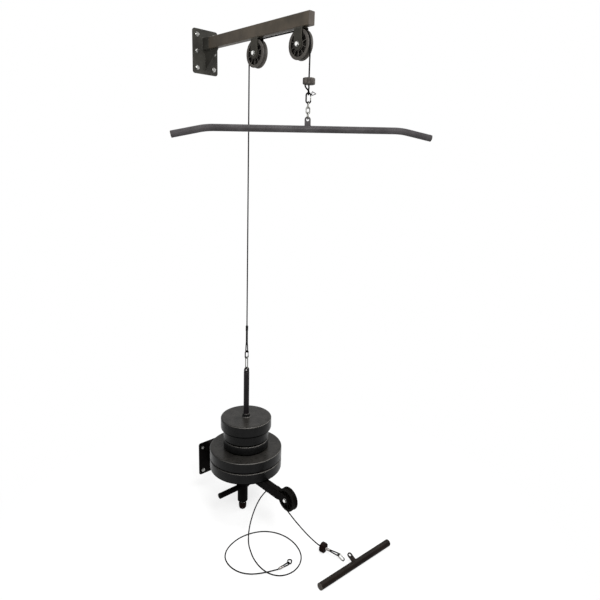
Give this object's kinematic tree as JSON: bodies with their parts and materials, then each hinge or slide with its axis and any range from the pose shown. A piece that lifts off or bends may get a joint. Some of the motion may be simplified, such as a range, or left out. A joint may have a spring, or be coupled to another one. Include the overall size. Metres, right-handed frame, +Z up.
{
  "type": "wall pulley weight stack",
  "caption": "Wall-mounted pulley arms with a hanging rod of weight plates, a lat bar on the upper cable, a loose low cable and a short bar.",
  "frame": {"origin": "middle of the upper wall plate's back face, on the wall", "axes": "+Y into the wall, -Y out along the arms, +X to the right of a person who faces the wall, +Z up"},
  "size_m": [0.9241, 1.0381, 2.4111],
  "materials": {
    "black_paint": "satin",
    "arm_paint": "satin",
    "bar_paint": "satin",
    "rod_paint": "satin",
    "short_bar_paint": "satin",
    "zinc_steel": "satin",
    "bearing_steel": "satin",
    "pulley_nylon": "satin",
    "cap_plastic": "matte",
    "cable_sheath": "satin",
    "weight_shell": "satin",
    "stopper_rubber": "matte"
  },
  "bodies": {
    "frame": {"upper_wall_plate": "black_paint", "upper_arm": "arm_paint", "upper_arm_cap": "cap_plastic", "upper_wall_bolt_1": "zinc_steel", "upper_wall_bolt_2": "zinc_steel", "upper_wall_bolt_3": "zinc_steel", "upper_wall_bolt_4": "zinc_steel", "upper_wall_bolt_5": "zinc_steel", "upper_wall_bolt_6": "zinc_steel", "lower_wall_plate": "black_paint", "lower_arm": "black_paint", "lower_wall_bolt_1": "zinc_steel", "lower_wall_bolt_2": "zinc_steel", "lower_wall_bolt_3": "zinc_steel", "lower_wall_bolt_4": "zinc_steel", "rear_pulley_bracket": "arm_paint", "rear_axle_bolt": "zinc_steel", "front_pulley_bracket": "arm_paint", "front_axle_bolt": "zinc_steel", "low_pulley_bracket": "black_paint", "low_axle_bolt": "zinc_steel", "upper_cable_top": "cable_sheath", "upper_cable_rear": "cable_sheath", "upper_cable_front": "cable_sheath", "stack_pad": "stopper_rubber", "foot_leg": "black_paint", "foot_rest_bar": "black_paint", "low_cable_loop": "cable_sheath", "low_cable_front": "cable_sheath", "low_stopper": "stopper_rubber", "low_front_eye": "cable_sheath", "low_hook": "zinc_steel", "low_cable_eye": "cable_sheath", "low_carabiner": "black_paint"},
    "rear_pulley": {"rear_pulley_wheel": "pulley_nylon", "rear_pulley_bearing": "bearing_steel"},
    "front_pulley": {"front_pulley_wheel": "pulley_nylon", "front_pulley_bearing": "bearing_steel"},
    "low_pulley": {"low_pulley_wheel": "pulley_nylon", "low_pulley_bearing": "bearing_steel"},
    "carriage": {"loading_rod": "rod_paint", "rear_link": "zinc_steel", "rear_carabiner": "black_paint", "rear_cable_eye": "cable_sheath"},
    "rear_hook_gate": {"rear_gate": "zinc_steel"},
    "weight_1": {"weight_plate_1": "weight_shell"},
    "weight_2": {"weight_plate_2": "weight_shell"},
    "weight_3": {"weight_plate_3": "weight_shell"},
    "weight_4": {"weight_plate_4": "weight_shell"},
    "weight_5": {"weight_plate_5": "weight_shell"},
    "lat_end": {"lat_stopper": "stopper_rubber"},
    "lat_hanger": {"lat_cable_eye": "cable_sheath", "lat_carabiner": "black_paint", "lat_link": "zinc_steel"},
    "lat_hook_gate": {"lat_gate": "zinc_steel"},
    "lat_handle": {"lat_bar": "bar_paint"},
    "foot": {"levelling_foot": "stopper_rubber"},
    "low_end_gate": {"low_gate": "zinc_steel"},
    "low_front_gate": {"low_hook_gate": "zinc_steel"},
    "floor_handle": {"short_bar": "short_bar_paint"}
  },
  "joints": [
    {"name": "weight_lift", "type": "slide", "parent": "frame", "child": "carriage", "axis": [0, 0, 1], "range_m": [0, 1.1], "deforming": ["upper_cable_rear"]},
    {"name": "lat_pull", "type": "slide", "parent": "frame", "child": "lat_end", "axis": [0, 0, -1], "range_m": [0, 1.1], "deforming": ["upper_cable_front"]},
    {"name": "rear_pulley_spin", "type": "hinge", "parent": "frame", "child": "rear_pulley", "pos_m": [0, -0.3995, -0.0521], "axis": [1, 0, 0], "continuous": true},
    {"name": "front_pulley_spin", "type": "hinge", "parent": "frame", "child": "front_pulley", "pos_m": [0, -0.6725, -0.0521], "axis": [1, 0, 0], "continuous": true},
    {"name": "low_pulley_spin", "type": "hinge", "parent": "frame", "child": "low_pulley", "pos_m": [0, -0.6796, -2.068], "axis": [1, 0, 0], "continuous": true},
    {"name": "weight_1_lift", "type": "slide", "parent": "carriage", "child": "weight_1", "axis": [0, 0, 1], "range_m": [0, 0.04]},
    {"name": "weight_2_lift", "type": "slide", "parent": "weight_1", "child": "weight_2", "axis": [0, 0, 1], "range_m": [0, 0.04]},
    {"name": "weight_3_lift", "type": "slide", "parent": "weight_2", "child": "weight_3", "axis": [0, 0, 1], "range_m": [0, 0.04]},
    {"name": "weight_4_lift", "type": "slide", "parent": "weight_3", "child": "weight_4", "axis": [0, 0, 1], "range_m": [0, 0.04]},
    {"name": "weight_5_lift", "type": "slide", "parent": "weight_4", "child": "weight_5", "axis": [0, 0, 1], "range_m": [0, 0.1]},
    {"name": "lat_bar_turn", "type": "hinge", "parent": "lat_end", "child": "lat_hanger", "pos_m": [0, -0.726, -0.2016], "axis": [0, 0, 1], "range_deg": [-22, 88]},
    {"name": "lat_bar_tilt", "type": "hinge", "parent": "lat_hanger", "child": "lat_handle", "pos_m": [0, -0.726, -0.33092], "axis": [0.515, 0.8572, 0], "range_deg": [-15, 15]},
    {"name": "rear_gate_swing", "type": "hinge", "parent": "carriage", "child": "rear_hook_gate", "pos_m": [0.009, -0.346, -1.43177], "axis": [0, -1, 0], "range_deg": [0, 28], "stiffness_Nm_per_rad": 0.02, "springref_deg": -11.46},
    {"name": "lat_gate_swing", "type": "hinge", "parent": "lat_hanger", "child": "lat_hook_gate", "pos_m": [0.00771, -0.73064, -0.2573], "axis": [-0.515, -0.8572, 0], "range_deg": [0, 28], "stiffness_Nm_per_rad": 0.02, "springref_deg": -11.46},
    {"name": "low_gate_swing", "type": "hinge", "parent": "frame", "child": "low_end_gate", "pos_m": [-0.08295, -0.78185, -2.30669], "axis": [0.1762, 0.1532, 0.9724], "range_deg": [0, 28], "stiffness_Nm_per_rad": 0.02, "springref_deg": -11.46},
    {"name": "low_hook_gate_swing", "type": "hinge", "parent": "frame", "child": "low_front_gate", "pos_m": [0.11683, -0.94887, -2.29134], "axis": [-0.9736, -0.2283, 0], "range_deg": [0, 28], "stiffness_Nm_per_rad": 0.02, "springref_deg": -11.46},
    {"name": "foot_height", "type": "slide", "parent": "frame", "child": "foot", "axis": [0, 0, 1], "range_m": [0, 0.01]},
    {"name": "short_bar_lift", "type": "slide", "parent": "frame", "child": "floor_handle", "axis": [0, 0, 1], "range_m": [0, 0.25]}
  ],
  "couplings": [
    {"joint": "lat_pull", "follows": "weight_lift", "ratio": 1},
    {"joint": "rear_pulley_spin", "follows": "weight_lift", "rad_per_m": 18.69},
    {"joint": "front_pulley_spin", "follows": "weight_lift", "rad_per_m": 18.69}
  ]
}
